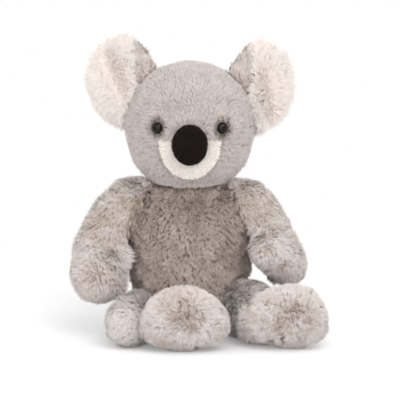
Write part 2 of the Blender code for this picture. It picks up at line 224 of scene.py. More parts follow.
# Muzzle: short cream pile
CREAM_PLUSH = PlushFinish(
    "cream short-pile plush", "cream_plush", roots=((0.0, "#d6cac0"), (1.0, "#efe7e0")),
    tips=((0.0, "#efe5dc"), (1.0, "#fbf7f3")),
)
# Nose: black velour, dull, a little brown where the light strikes it
BLACK_VELOUR = PlushFinish(
    "black velour", "black_velour", roots=((0.0, "#050202"), (1.0, "#0c0504")),
    tips=((0.0, "#100505"), (1.0, "#2a0f0b")), sheen=0.03,
)


@dataclass(frozen=True)
class EyePlastic:
    """Injection-moulded acrylic: a clear, glossy dome over a brown iris and a black pupil."""

    name: str = "moulded acrylic"
    pupil_radius: float = 1.9 * MM
    iris_radius: float = 4.1 * MM
    rim: float = 0.6 * MM
    pupil_fade: float = 0.08
    iris_fade: float = 0.12
    roughness: float = 0.06
    specular: float = 0.22

    def material(self, centre: Vector, facing: Vector) -> bpy.types.Material:
        """Make the material of one eye.

        Args:
            centre: the middle of the eye's seat.
            facing: the way that the eye looks.

        Returns:
            The material, whose rings are centred on the eye's axis.
        """
        material, tree = new_material(self.name)
        place = add_node(tree, "TexCoord")
        from_centre = add_node(
            tree, "VectorMath", {"operation": "SUBTRACT"}, _0=place.outputs["Object"], _1=centre
        )
        across = add_node(
            tree, "VectorMath", {"operation": "CROSS_PRODUCT"}, _0=from_centre.outputs[0], _1=facing
        )
        radius = add_node(tree, "VectorMath", {"operation": "LENGTH"}, _0=across.outputs[0])
        outer = self.iris_radius + self.rim
        share = add_node(tree, "MapRange", Value=radius.outputs["Value"], From_Max=outer)
        pupil, iris = self.pupil_radius / outer, self.iris_radius / outer
        rings = set_ramp(
            add_node(tree, "ValToRGB", Fac=share.outputs["Result"]),
            (
                (0.0, "#070504"), (pupil, "#080605"), (pupil + self.pupil_fade, "#251812"),
                (iris - self.iris_fade, "#1b120d"), (iris, "#070504"), (1.0, "#050403"),
            ),
        )
        shader = add_node(
            tree, "BsdfPrincipled", Base_Color=rings, Roughness=self.roughness, Specular_IOR_Level=self.specular,
        )
        add_node(tree, "OutputMaterial", Surface=shader.outputs["BSDF"])
        return material


@dataclass(frozen=True)
class WasherPlastic:
    """Moulded polypropylene, milky white with the faint grain of its mould."""

    name: str = "moulded polypropylene"
    grain: float = 0.4 * MM
    grain_depth: float = 0.02 * MM
    grain_strength: float = 0.2
    roughness: float = 0.45
    ior: float = 1.49

    def material(self) -> bpy.types.Material:
        """Make the washer's material."""
        material, tree = new_material(self.name)
        place = add_node(tree, "TexCoord")
        grain = add_node(tree, "TexNoise", Vector=place.outputs["Object"], Scale=1 / self.grain).outputs[0]
        colour = set_ramp(add_node(tree, "ValToRGB", Fac=grain), ((0.3, "#e2e1dc"), (0.7, "#ecebe6")))
        bump = add_node(
            tree, "Bump", Height=grain, Strength=self.grain_strength, Distance=self.grain_depth
        )
        shader = add_node(
            tree, "BsdfPrincipled", Base_Color=colour, Roughness=self.roughness, IOR=self.ior,
            Normal=bump.outputs["Normal"],
        )
        add_node(tree, "OutputMaterial", Surface=shader.outputs["BSDF"])
        return material


def unit(vectors: Rows) -> Rows:
    """Scale each row to a length of 1."""
    return vectors / np.maximum(np.linalg.norm(vectors, axis=-1, keepdims=True), 1e-12)


def step(values: Rows, low: float, high: float) -> Rows:
    """Rise smoothly from 0 at a low value to 1 at a high one."""
    share = np.clip((values - low) / (high - low), 0, 1)
    return share * share * (3 - 2 * share)


def fade(far: Rows, reach: float) -> Rows:
    """Fall smoothly from 1 at no distance towards 0 beyond the reach."""
    return np.exp(-((far / reach) ** 2))


def laid_flat(ways: Rows, normals: Rows) -> Rows:
    """Turn each way into the plane across its normal, as unit rows."""
    return unit(ways - normals * (ways * normals).sum(1, keepdims=True))


class Drift:
    """A smooth wander over space, the same in every run."""

    def __init__(self, seed: int, size: float, parts: int = 3, waves: int = 9) -> None:
        """Draw the waves.

        Args:
            seed: which wander it is.
            size: the usual length of a wave, in metres.
            parts: how many values each place gets.
            waves: how many waves make up a value.
        """
        rng = np.random.default_rng(seed)
        bearing = unit(rng.normal(size=(parts, waves, 3)))
        self.waves = bearing * (2 * math.pi / size) * rng.uniform(0.6, 1.5, (parts, waves, 1))
        self.phases = rng.uniform(0, 2 * math.pi, (parts, waves))

    def at(self, points: Rows) -> Rows:
        """The wander's values, around -1 to 1, at each point."""
        turns = np.einsum("nc,pwc->npw", points, self.waves) + self.phases
        return np.sin(turns).sum(2) / math.sqrt(self.phases.shape[1])


@dataclass(frozen=True)
class Pile:
    """How a plush is cut and brushed: its locks and the hairs in them, in metres and degrees from upright.

    gather is how far a lock's hairs meet towards their tips, and curl how far they bend aside. The brushing
    strays from its way by wander over each wander_size.
    """

    length: float = 6.2 * MM
    root_lean: float = 46
    tip_lean: float = 73
    lock_radius: float = 0.9 * MM
    hairs: int = 7
    spacing: float = 1.35 * MM
    width: float = 0.46 * MM
    gather: float = 0.5
    wander: float = 0.45
    wander_size: float = 11 * MM
    curl: float = 0.15


@dataclass(frozen=True)
class Crown:
    """A place where the pile lies otherwise: it grows away from a spot or a line, or one way as a tuft.

    Attributes:
        at: the spot, or the line's start.
        reach: how far it acts.
        to: the line's end.
        way: the tuft's way.
        turn: how far the pile follows it.
        open: how upright the pile stands there.
        deep: how much deeper its shade is there; in a patch of painted shading this is painted shade, or painted
            light below 0.
        short: what share of its length it lacks there.
    """

    at: Vector
    reach: float = 14 * MM
    to: Vector | None = None
    way: Vector | None = None
    turn: float = 1.0
    open: float = 0.8
    deep: float = 0.5
    short: float = 0.0

    def seen_from(self, points: Rows) -> tuple[Rows, Rows]:
        """The way from the crown to each point, as unit rows, and how near each is, from 0 to 1."""
        start = np.array(self.at)
        away = points - start
        if self.to is not None:
            line = np.array(self.to) - start
            share = np.clip((points - start) @ line / (line @ line), 0, 1)
            away = points - start - share[:, None] * line
        near = fade(np.linalg.norm(away, axis=1), self.reach)
        if self.way:
            away = np.broadcast_to(np.array(self.way), points.shape)
        return unit(away), near


def painted_shading(at: Vector, reach: float, deep: float, to: Vector | None = None) -> Crown:
    """A patch of painted shade, or of painted light if deep is below 0: only the pile's colour changes there."""
    return Crown(at, reach, to=to, turn=0, open=0, deep=deep)


@dataclass(frozen=True)
class Bump:
    """A place where the fill pushes the cover out."""

    at: Vector
    by: tuple[float, float, float]
    reach: float


@dataclass
class Brushed:
    """What the brush gives each lock: its direction, how upright it is, its share of the length, its shade."""

    along: Rows
    upright: Rows
    length: Rows
    shade: Rows


def only(item: Item) -> None:
    """Make an object the one that is selected and active."""
    bpy.ops.object.select_all(action="DESELECT")
    item.select_set(True)
    bpy.context.view_layer.objects.active = item


def linked(name: str, data: bpy.types.ID) -> Item:
    """Put data into the scene as a new object."""
    item = bpy.data.objects.new(name, data)
    bpy.context.scene.collection.objects.link(item)
    return item


def copy_of(node: str, hull: bool = False) -> Item:
    """Copy a CAD node's form as a welded mesh.

    Args:
        node: the CAD node.
        hull: whether to close its holes and hollows.

    Returns:
        The new object, at the origin.
    """
    item = linked(f"{node}_cover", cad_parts[node].data.copy())
    item.data.materials.clear()
    only(item)
    bpy.ops.object.mode_set(mode="EDIT")
    bpy.ops.mesh.select_all(action="SELECT")
    bpy.ops.mesh.remove_doubles(threshold=0.01 * MM)
    if hull:
        bpy.ops.mesh.convex_hull()
    bpy.ops.object.mode_set(mode="OBJECT")
    return item


def apply_all(item: Item) -> None:
    """Apply an object's modifiers in order."""
    only(item)
    for modifier in list(item.modifiers):
        bpy.ops.object.modifier_apply(modifier=modifier.name)


def places(item: Item, what: str = "co") -> Rows:
    """Each vertex's place, or its normal where what is "normal"."""
    found = np.empty(len(item.data.vertices) * 3, np.float32)
    item.data.vertices.foreach_get(what, found)
    return found.reshape(-1, 3).astype(float)


def put(item: Item, points: Rows) -> None:
    """Move each vertex to a new place."""
    item.data.vertices.foreach_set("co", points.astype(np.float32).ravel())
    item.data.update()


def solids(nodes: list[str]) -> BVHTree:
    """One search tree over the CAD forms of several nodes."""
    corners: list = []
    faces: list = []
    for node in nodes:
        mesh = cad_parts[node].data
        first = len(corners)
        corners.extend(vertex.co for vertex in mesh.vertices)
        faces.extend([first + index for index in polygon.vertices] for polygon in mesh.polygons)
    return BVHTree.FromPolygons(corners, faces)


def gaps_to(tree: BVHTree, points: Rows) -> Rows:
    """How far each point is from the forms in a search tree."""
    return np.array([tree.find_nearest(Vector(point))[3] for point in points])


def front_of(node: str, *seen: tuple[float, float]) -> list[Vector]:
    """Spots on a node's front, each given by how far across and up it is seen from the middle of the seat.

    Args:
        node: the CAD node.
        *seen: millimetres towards the toy's left, and up in the picture, of each spot.

    Returns:
        The spots on the node.
    """
    tree = solids([node])
    sight = Vector((0, math.cos(PICTURE_TILT), -math.sin(PICTURE_TILT)))
    rise = Vector((0, math.sin(PICTURE_TILT), math.cos(PICTURE_TILT)))
    spots = []
    for across, up in seen:
        level = Vector((across * MM, 0, 0)) + up * MM * rise
        spots.append(tree.ray_cast(level - sight, sight)[0] or tree.find_nearest(level)[0])
    return spots


@dataclass
class PlushPiece:
    """One sewn piece of plush: its cover, made from its CAD form, and the pile on it.

    Attributes:
        node: the CAD node that it stands for.
        finish: its plush.
        pile: how that plush is cut and brushed.
        body: the body that carries it, where that isn't named like the node.
        seed: what its random numbers start from.
        grid: the size of its cover's mesh.
        inset: how far the cover is drawn in under the pile.
        lift: how far the cover is raised besides.
        swell: how far the fill may push the cover out.
        fill: how full it is; not used.
        seam_reach: how far from a neighbour the pile is at its full length.
        draw_reach: how far from a neighbour the cover is drawn in or swells fully.
        bare_under: how near over a lock a neighbour may be before the lock is left out.
        crowns: where the pile lies otherwise.
        bumps: where the fill pushes the cover out.
        sweep: the way that the pile is brushed, where it has no hub.
        hub: the spot that the pile is brushed away from.
        whorl: how far round the hub the pile still stands up.
        partings: how much deeper the shade is in the pile's partings.
        base_shade: the pile's shade, from 0 at the deepest to 1.
        shade_drift: how far the shade drifts.
        painted_seam_shade: how much painted shade darkens the pile in the seams.
        sewn_to: a partner whose seam the pile covers.
    """

    node: str
    finish: PlushFinish
    pile: Pile = Pile()
    body: str = ""
    seed: int = 1
    grid: float = 3.5 * MM
    inset: float = 3.0 * MM
    lift: float = 0.0
    swell: float = 1.2 * MM
    fill: float = 0.8
    seam_reach: float = 4.5 * MM
    draw_reach: float = 9.0 * MM
    bare_under: float = 1.0 * MM
    crowns: list[Crown] = field(default_factory=list)
    bumps: tuple[Bump, ...] = ()
    sweep: tuple[float, float, float] = (0, 0, -1)
    hub: Vector | None = None
    whorl: float = 4 * MM
    partings: float = 0.08
    base_shade: float = 0.7
    shade_drift: float = 0.12
    painted_seam_shade: float = 0.15
    sewn_to: str = ""
    # The gap to a neighbour that is still a seam, and the height up to which the seat holds the cover
    seam_gap: float = 0.6 * MM
    seat_hold: float = 3 * MM
    seat_flat: float = 1 * MM
    # The simulated fill
    pressure: float = 4
    stiffness: float = 3
    sim_frames: int = 20
    # The pile in a seam keeps this share of its length; tones and partings are about this wide
    seam_length: float = 0.4
    tone_size: float = 16 * MM
    parting_size: float = 4 * MM
    uneven: float = 0.12

    def __post_init__(self) -> None:
        """Take the slot from the plush, and the body from the node where no other is named."""
        self.slot = self.finish.slot
        self.body = self.body or self.node

    def build(self) -> None:
        """Make the piece and hand it to its body."""
        self.near = solids([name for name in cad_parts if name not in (self.node, self.sewn_to)])
        self.sewn = solids([self.sewn_to]) if self.sewn_to else None
        cover = self.form()
        points = places(cover)
        room = self.room_over(points, self.draw_reach)
        if self.sewn:
            # The pile runs on over a seam with a partner, so only the cover comes up to it
            room = np.minimum(room, step(gaps_to(self.sewn, points), 0.4 * MM, 3.5 * MM))
        if self.swell:
            self.fill_out(cover, np.minimum(room, step(points[:, 2], 0, self.seat_hold)))
        self.draw_in(cover, room)
        piece = self.grow(cover)
        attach(piece, self.body)
        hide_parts(self.node)
        LOG.info("%s: %d triangles", piece.name, sum(len(face.vertices) - 2 for face in piece.data.polygons))

    def form(self, hull: bool = False) -> Item:
        """Make the cover's even mesh from the CAD form, or from the form's hull."""
        cover = copy_of(self.node, hull)
        remesh = cover.modifiers.new("even", "REMESH")
        remesh.mode = "VOXEL"
        remesh.voxel_size = self.grid
        apply_all(cover)
        return cover

    def room_over(self, points: Rows, reach: float) -> Rows:
        """How free of neighbours each point is, from 0 in a seam to 1 at a distance."""
        return step(gaps_to(self.near, points), self.seam_gap, reach)

    def fill_out(self, cover: Item, room: Rows) -> None:
        """Swell the cover with its fill while its seams hold it.

        Args:
            cover: the cover, which is changed.
            room: how free of neighbours each vertex is.
        """
        before = places(cover)
        held = cover.vertex_groups.new(name="seams")
        for index, free in enumerate(room):
            held.add([index], 1.0 - float(free), "REPLACE")
        cloth = cover.modifiers.new("fill", "CLOTH")
        cloth.settings.vertex_group_mass = held.name
        cloth.settings.use_pressure = True
        cloth.settings.uniform_pressure_force = self.pressure
        cloth.settings.tension_stiffness = cloth.settings.compression_stiffness = self.stiffness
        cloth.settings.effector_weights.gravity = 0
        cloth.collision_settings.use_collision = False
        cloth.point_cache.frame_start, cloth.point_cache.frame_end = 1, self.sim_frames
        scene = bpy.context.scene
        for frame_number in range(1, self.sim_frames + 1):
            scene.frame_set(frame_number)
        apply_all(cover)
        scene.frame_set(1)
        cover.vertex_groups.clear()
        moved = places(cover) - before
        far = np.linalg.norm(moved, axis=1, keepdims=True)
        put(cover, before + moved * np.minimum(1, self.swell / np.maximum(far, 1e-9)))

    def draw_in(self, cover: Item, room: Rows) -> None:
        """Draw the cover in under the pile, and leave it where it is at the seams and on the seat."""
        points = places(cover)
        moved = np.array([0, 0, self.lift]) - places(cover, "normal") * self.inset
        points = points + moved * (room * step(points[:, 2], 0, self.seat_flat))[:, None]
        for bump in self.bumps:
            far = np.linalg.norm(points - np.array(bump.at), axis=1, keepdims=True)
            points += np.array(bump.by) * fade(far, bump.reach)
        put(cover, points)
        smooth = cover.modifiers.new("settle", "SMOOTH")
        smooth.factor = 0.5
        smooth.iterations = 2
        finer = cover.modifiers.new("finer", "SUBSURF")
        finer.levels = finer.render_levels = 1
        apply_all(cover)

    def brush(self, points: Rows, normals: Rows, room: Rows) -> Brushed:
        """Lay the pile.

        Args:
            points: where each lock is rooted.
            normals: the way out of the cover there.
            room: how free of neighbours it is there.

        Returns:
            The direction, uprightness, length and shade of each lock.
        """
        along = self.swept(points, normals) + self.pile.wander * Drift(self.seed, self.pile.wander_size).at(points)
        upright = np.zeros(len(points))
        length = self.seam_length + (1 - self.seam_length) * room
        tones = Drift(self.seed + 50, self.tone_size, 2).at(points)
        parted = Drift(self.seed + 80, self.parting_size, 1).at(points)[:, 0]
        # Painted shade darkens the pile in the seams, more the nearer a neighbour is
        shade = self.base_shade + self.shade_drift * tones[:, 0] - self.painted_seam_shade * (1 - room)
        shade -= self.partings * step(parted, 0.5, 1.6)
        for crown in self.crowns:
            away, near = crown.seen_from(points)
            turn = crown.turn * near[:, None]
            along = along * (1 - turn) + 1.5 * away * turn
            upright = np.maximum(upright, crown.open * near**2)
            shade = shade - crown.deep * near**1.5
            if crown.way:
                # A tuft stands whether or not there is room over it
                length = length * (1 - near) + (1 - crown.short) * near
            else:
                length = length * (1 - crown.short * near)
        length = length * (1 + self.uneven * tones[:, 1])
        return Brushed(laid_flat(along, normals), upright, length, shade)

    def swept(self, points: Rows, normals: Rows) -> Rows:
        """The way that the whole piece is brushed, at each point: away from its hub, or all one way."""
        if self.hub:
            away = points - np.array(self.hub)
            return unit(away) * step(np.linalg.norm(away, axis=1), 0, self.whorl)[:, None]
        return np.broadcast_to(np.array(self.sweep, float), points.shape).copy()

    def keep(self, points: Rows, normals: Rows, room: Rows) -> Rows:
        """Which locks to grow: those with no neighbour right over them and not on the seat's flat."""
        kept = (points[:, 2] > self.seat_flat) | (normals[:, 2] > -0.8)
        for tree, share in ((self.near, 1.0), (self.sewn, 0.0)):
            if tree:
                reach = self.bare_under + self.inset * room * share
                hits = [tree.ray_cast(Vector(p), Vector(n), r)[0] for p, n, r in zip(points, normals, reach)]
                kept &= np.array([hit is None for hit in hits])
        return kept

    def grow(self, cover: Item) -> Item:
        """Grow the pile and join it with its cover.

        Args:
            cover: the finished cover, which is used up.

        Returns:
            The piece, cover and pile in one mesh.
        """
        rng = np.random.default_rng(self.seed)
        thin = 1
        points, normals, room = self.rooted(cover, rng, self.pile.spacing * math.sqrt(thin))
        laid = self.brush(points, normals, room)
        hairs = Hairs(self.pile, math.sqrt(thin)).strands(points, normals, laid, rng)
        skin_shade = self.brush(places(cover), places(cover, "normal"), np.ones(len(places(cover)))).shade
        piece = joined(f"{self.node}_plush", cover, skin_shade, hairs)
        piece.data.materials.append(self.finish.material())
        return piece

    def rooted(self, cover: Item, rng: np.random.Generator, spacing: float) -> tuple:
        """Spread the locks' roots evenly over the cover.

        Args:
            cover: the cover.
            rng: the piece's own random numbers.
            spacing: metres between locks.

        Returns:
            Their places, normals and room.
        """
        mesh = cover.data
        mesh.calc_loop_triangles()
        corners = np.empty(len(mesh.loop_triangles) * 3, np.int32)
        mesh.loop_triangles.foreach_get("vertices", corners)
        corners = corners.reshape(-1, 3)
        co, no = places(cover), places(cover, "normal")
        free = self.room_over(co, self.seam_reach)
        a, b, c = co[corners[:, 0]], co[corners[:, 1]], co[corners[:, 2]]
        passed = np.cumsum(np.linalg.norm(np.cross(b - a, c - a), axis=1) / 2)
        # Of three times the places, one stays in each cell, which leaves no bare spots
        count = int(3 * passed[-1] / spacing**2)
        at = np.searchsorted(passed, rng.uniform(size=count) * passed[-1]).clip(0, len(corners) - 1)
        first, second = rng.uniform(size=(2, count))
        over = first + second > 1
        first, second = np.where(over, 1 - first, first), np.where(over, 1 - second, second)
        shares = np.stack([1 - first - second, first, second], 1)
        points = (co[corners[at]] * shares[:, :, None]).sum(1)
        picked = np.unique(np.floor(points / (1.22 * spacing)).astype(int), axis=0, return_index=True)[1]
        at, shares, points = at[picked], shares[picked], points[picked]
        normals = unit((no[corners[at]] * shares[:, :, None]).sum(1))
        room = (free[corners[at]] * shares).sum(1)
        kept = self.keep(points, normals, room)
        return points[kept], normals[kept], room[kept]


@dataclass
class Hairs:
    """The tapered hairs of every lock: where along a hair its corners lie, how wide it is there, and how far
    locks, and hairs in them, differ in turn, lean, length and shade."""

    pile: Pile
    coarse: float = 1.0
    stations: tuple[float, ...] = (0.0, 0.55, 1.0)
    girths: tuple[float, ...] = (1.0, 0.85, 0.0)
    smooth: float = 0.45
    lock_turn: float = 0.28
    hair_turn: float = 0.22
    lock_lean: float = 0.10
    hair_lean: float = 0.12
    hair_lengths: tuple[float, float] = (0.78, 1.08)
    lock_length: float = 0.07
    hair_curl: float = 0.4
    roll: float = 0.3
    lock_shade: float = 0.09
    hair_shade: float = 0.05
    map_half_width: float = 0.01

    def strands(self, points: Rows, normals: Rows, laid: Brushed, rng: np.random.Generator) -> dict:
        """Draw every hair of every lock.

        Args:
            points: the locks' roots.
            normals: the way out of the cover there.
            laid: how the pile is brushed there.
            rng: the piece's own random numbers.

        Returns:
            The hairs' corner places (hair, corner, xyz), their normals and their map places (hair, corner, uv).
        """
        pile, locks = self.pile, len(points)
        lock = np.repeat(np.arange(locks), pile.hairs)
        total = len(lock)
        out, along = normals[lock], laid.along[lock]
        beside = np.cross(out, along)
        # Each lock turns and leans a little by itself, and each hair a little more
        turn = (rng.normal(0, self.lock_turn, locks)[lock] + rng.normal(0, self.hair_turn, total))[:, None]
        cos, sin = np.cos(turn), np.sin(turn)
        along, beside = along * cos + beside * sin, beside * cos - along * sin
        raised = 1 - laid.upright[lock]
        stray = rng.normal(0, self.hair_lean, total) + rng.normal(0, self.lock_lean, locks)[lock]
        lean_in = np.radians(pile.root_lean) * raised + stray * 0.5
        lean_out = np.radians(pile.tip_lean) * (0.25 + 0.75 * raised) + stray
        length = pile.length * laid.length[lock] * rng.uniform(*self.hair_lengths, total)
        length = length * (1 + rng.normal(0, self.lock_length, locks)[lock])
        around = rng.uniform(0, 2 * math.pi, total)
        off = pile.lock_radius * self.coarse * np.sqrt(rng.uniform(size=total))
        aside = (along * (off * np.cos(around))[:, None]) + beside * (off * np.sin(around))[:, None]
        bend = (pile.curl * (rng.normal(size=locks)[lock] + self.hair_curl * rng.normal(size=total)))[:, None]
        roll = rng.uniform(-self.roll, self.roll, total)[:, None]
        spine = points[lock].copy()
        rows, facing, before = [], [], 0.0
        for share, girth in zip(self.stations, self.girths):
            lean = (lean_in + (lean_out - lean_in) * (share + before) / 2)[:, None]
            way = out * np.cos(lean) + along * np.sin(lean)
            spine = spine + way * (length * (share - before))[:, None]
            before = share
            centre = spine + aside * (1 - pile.gather * share**1.2) + beside * bend * (length * share**2)[:, None]
            flat = unit(beside * np.cos(roll) + np.cross(way, beside) * np.sin(roll))
            half = flat * (pile.width * self.coarse * girth / 2)
            rows += [centre + half, centre - half] if girth else [centre]
            # The pile is shaded mostly as the surface that it makes up
            facing += [unit(self.smooth * out + (1 - self.smooth) * np.cross(way, flat))] * (2 if girth else 1)
        corners = np.stack(rows, 1)
        corners[:, :, 2] = np.maximum(corners[:, :, 2], FLOOR_CLEARANCE)
        shade = laid.shade[lock] + rng.normal(0, self.lock_shade, locks)[lock] + rng.normal(0, self.hair_shade, total)
        # Each station's corners on the map: two, side by side, or the tip's one
        spots = [(at, side) for at, girth in zip(self.stations, self.girths) for side in ((-1, 1) if girth else (0,))]
        across = np.clip(shade, *SHADE_ENDS)[:, None] + np.array([side for _, side in spots]) * self.map_half_width
        heights = HAIR_FOOT + HAIR_RISE * np.array([at for at, _ in spots])
        on_map = np.stack([across, np.broadcast_to(heights, across.shape)], 2)
        return {"corners": corners, "map": on_map, "normals": np.stack(facing, 1)}


def joined(name: str, cover: Item, shade: Rows, hairs: dict) -> Item:
    """Join a cover and its hairs into one mesh with the pile's map.

    Args:
        name: the piece's name.
        cover: the cover, which is removed.
        shade: the cover's shade at each vertex.
        hairs: the corners, normals and map places of the hairs.

    Returns:
        The piece.
    """
    skin = cover.data
    loops = np.empty(len(skin.loops), np.int32)
    skin.loops.foreach_get("vertex_index", loops)
    starts = np.empty(len(skin.polygons), np.int32)
    skin.polygons.foreach_get("loop_start", starts)
    points = places(cover)
    points[:, 2] = np.maximum(points[:, 2], FLOOR_CLEARANCE / 2)
    facing = np.concatenate([places(cover, "normal"), hairs["normals"].reshape(-1, 3)])
    count, per = hairs["corners"].shape[:2]
    first = len(points) + per * np.arange(count, dtype=np.int64)[:, None]
    # Each hair is one four-sided face with a three-sided tip
    order = np.array([0, 1, 3, 2, 2, 3, 4])
    hair_loops = (first + order).ravel()
    hair_starts = (len(loops) + len(order) * np.arange(count)[:, None] + np.array([0, 4])).ravel()
    mesh = bpy.data.meshes.new(name)
    mesh.vertices.add(len(points) + per * count)
    mesh.loops.add(len(loops) + len(hair_loops))
    mesh.polygons.add(len(starts) + len(hair_starts))
    mesh.vertices.foreach_set("co", np.concatenate([points.ravel(), hairs["corners"].ravel()]).astype(np.float32))
    mesh.loops.foreach_set("vertex_index", np.concatenate([loops, hair_loops]).astype(np.int32))
    mesh.polygons.foreach_set("loop_start", np.concatenate([starts, hair_starts]).astype(np.int32))
    mesh.update(calc_edges=True)
    mesh.polygons.foreach_set("use_smooth", np.ones(len(mesh.polygons), bool))
    # The cover takes the foot of the map, under the hairs' roots
    low, high = points.min(0), points.max(0)
    share = (points - low) / np.maximum(high - low, 1e-9)
    across = np.clip(shade, *SHADE_ENDS) * 0.9 + 0.05 * share[:, 0]
    skin_map = np.stack([across, COVER_FOOT + COVER_RISE * share[:, 2]], 1)[loops]
    hair_map = hairs["map"][:, order].reshape(-1, 2)
    layer = mesh.uv_layers.new(name=PILE_MAP, do_init=False)
    layer.uv.foreach_set("vector", np.concatenate([skin_map, hair_map]).astype(np.float32).ravel())
    mesh.normals_split_custom_set_from_vertices(facing.astype(np.float32))
    bpy.data.objects.remove(cover, do_unlink=True)
    return linked(name, mesh)


@dataclass
class Head(PlushPiece):
    """The head: shorter pile, brushed back from the nose and trimmed round the eyes, with painted shade round them.
    """

    eyes: tuple[Vector, ...] = ()
    socket: float = 5 * MM
    bare: float = 5.2 * MM
    trim_reach: float = 12 * MM
    painted_eye_reach: float = 11.5 * MM
    trim: float = 0.62
    painted_eye_shade: float = 0.62
    back: float = 40 * MM

    def form(self, hull: bool = True) -> Item:
        """Make the cover without its eye holes, which the eyes fill."""
        return super().form(hull)

    def swept(self, points: Rows, normals: Rows) -> Rows:
        """Brush away from the nose, and down at the back."""
        away = points - np.array(self.hub)
        back = step(points[:, 1], 0, self.back)[:, None]
        return unit(away) * (1 - back) + np.array(DOWN) * back

    def brush(self, points: Rows, normals: Rows, room: Rows) -> Brushed:
        """Lay the pile, short and away round the eyes, with painted shade round them."""
        laid = super().brush(points, normals, room)
        for eye in self.eyes:
            away = points - np.array(eye)
            gap = np.linalg.norm(away, axis=1)
            near = 1 - step(gap, self.socket, self.trim_reach)
            laid.length *= 1 - self.trim * near
            # Painted shade round each eye, for the recess that it sits in
            laid.shade -= self.painted_eye_shade * (1 - step(gap, self.socket, self.painted_eye_reach))
            turned = laid.along * (1 - near[:, None]) + unit(away) * near[:, None]
            laid.along = laid_flat(turned, normals)
        return laid

    def keep(self, points: Rows, normals: Rows, room: Rows) -> Rows:
        """Leave out the locks under the eyes as well."""
        kept = super().keep(points, normals, room)
        for eye in self.eyes:
            kept &= np.linalg.norm(points - np.array(eye), axis=1) > self.bare
        return kept


@dataclass
class Ear(PlushPiece):
    """An ear's back or lining, whose thin form is drawn in towards its middle by a share of its size."""

    body: str = "head"
    grid: float = 2.2 * MM
    inset: float = 1.0 * MM
    swell: float = 0
    middle: Vector = Vector()
    size: float = 0.9
    root: float = 12 * MM

    def form(self, hull: bool = False) -> Item:
        """Make the cover's mesh, smaller than its form by what its pile stands out, but not at the head."""
        cover = super().form(hull)
        points = places(cover)
        less = (1 - self.size) * step(gaps_to(self.near, points), self.seam_gap, self.root)
        put(cover, points + (np.array(self.middle) - points) * less[:, None])
        return cover


@dataclass
class Radial(PlushPiece):
    """A small pad that lies on the face, brushed outwards from its hub, with the painted shade and light of fine
    creases round it.
    """

    body: str = "head"
    grid: float = 1.2 * MM
    swell: float = 0
    creases: int = 0
    painted_crease_shade: float = 0.16

    def room_over(self, points: Rows, reach: float) -> Rows:
        """Treat all of the pad as free: it lies on the face, not against it."""
        return np.ones(len(points))

    def brush(self, points: Rows, normals: Rows, room: Rows) -> Brushed:
        """Lay the pile, with painted shade and light along the creases."""
        laid = super().brush(points, normals, room)
        if self.creases:
            away = points - np.array(self.hub)
            turn = np.arctan2(away[:, 2], away[:, 0])
            # Painted shade and light in stripes round the hub, for creases that the form lacks
            laid.shade += self.painted_crease_shade * np.cos(self.creases * turn + 2 * np.sin(3 * turn)) - 0.05
        return laid


@dataclass
class SafetyEye:
    """A moulded eye: a dome on a thin rim, with the stem that its washer locks on."""

    side: Side
    radius: float = 4.9 * MM
    dome_height: float = 4.2 * MM
    rim_height: float = 0.5 * MM
    stem_radius: float = 1.5 * MM
    stem_length: float = 11 * MM
    turn_deg: float = 24
    finish: EyePlastic = EyePlastic()

    def __post_init__(self) -> None:
        """Find the eye's seat from its CAD node."""
        self.node = f"eye_{self.side.word}"
        turn = math.radians(self.turn_deg)
        self.facing = Vector((self.side.value * math.sin(turn), -math.cos(turn), 0))
        corners = np.array([vertex.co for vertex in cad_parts[self.node].data.vertices])
        depth = corners @ np.array(self.facing)
        end = Vector(corners[depth < depth.min() + 0.1 * MM].mean(0))
        self.seat = end + self.facing * self.stem_length

    def build(self) -> None:
        """Model the eye and seat it."""
        bpy.ops.object.select_all(action="DESELECT")
        bpy.ops.mesh.primitive_uv_sphere_add(segments=48, ring_count=24, radius=self.radius)
        eye = bpy.context.active_object
        eye.name = f"{self.node}_dome"
        bpy.ops.object.mode_set(mode="EDIT")
        bpy.ops.mesh.select_all(action="SELECT")
        bpy.ops.mesh.bisect(plane_co=(0, 0, 0), plane_no=UP, clear_inner=True, use_fill=True)
        bpy.ops.mesh.select_all(action="SELECT")
        bpy.ops.transform.resize(value=(1, 1, (self.dome_height - self.rim_height) / self.radius))
        bpy.ops.transform.translate(value=(0, 0, self.rim_height))
        self.pick_lowest(eye)
        bpy.ops.mesh.extrude_region_move(TRANSFORM_OT_translate={"value": (0, 0, -self.rim_height)})
        bpy.ops.mesh.inset(thickness=self.radius - self.stem_radius)
        bpy.ops.mesh.extrude_region_move(TRANSFORM_OT_translate={"value": (0, 0, -self.stem_length)})
        bpy.ops.object.mode_set(mode="OBJECT")
        turn = self.facing.to_track_quat("Z", "Y").to_matrix().to_4x4()
        eye.data.transform(Matrix.Translation(self.seat) @ turn)
        only(eye)
        bpy.ops.object.shade_smooth_by_angle(angle=math.radians(40))
        eye.data.materials.append(self.finish.material(self.seat, self.facing))
        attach(eye, "head")
        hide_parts(self.node)
        LOG.info("%s: %d faces", eye.name, len(eye.data.polygons))

    @staticmethod
    def pick_lowest(item: Item) -> None:
        """Select only the lowest level face of a mesh in edit mode."""
        bpy.ops.mesh.select_all(action="DESELECT")
        bpy.ops.object.mode_set(mode="OBJECT")
        lowest = min(item.data.polygons, key=lambda polygon: polygon.center.z)
        lowest.select = True
        bpy.ops.object.mode_set(mode="EDIT")
        bpy.ops.mesh.select_mode(type="FACE")


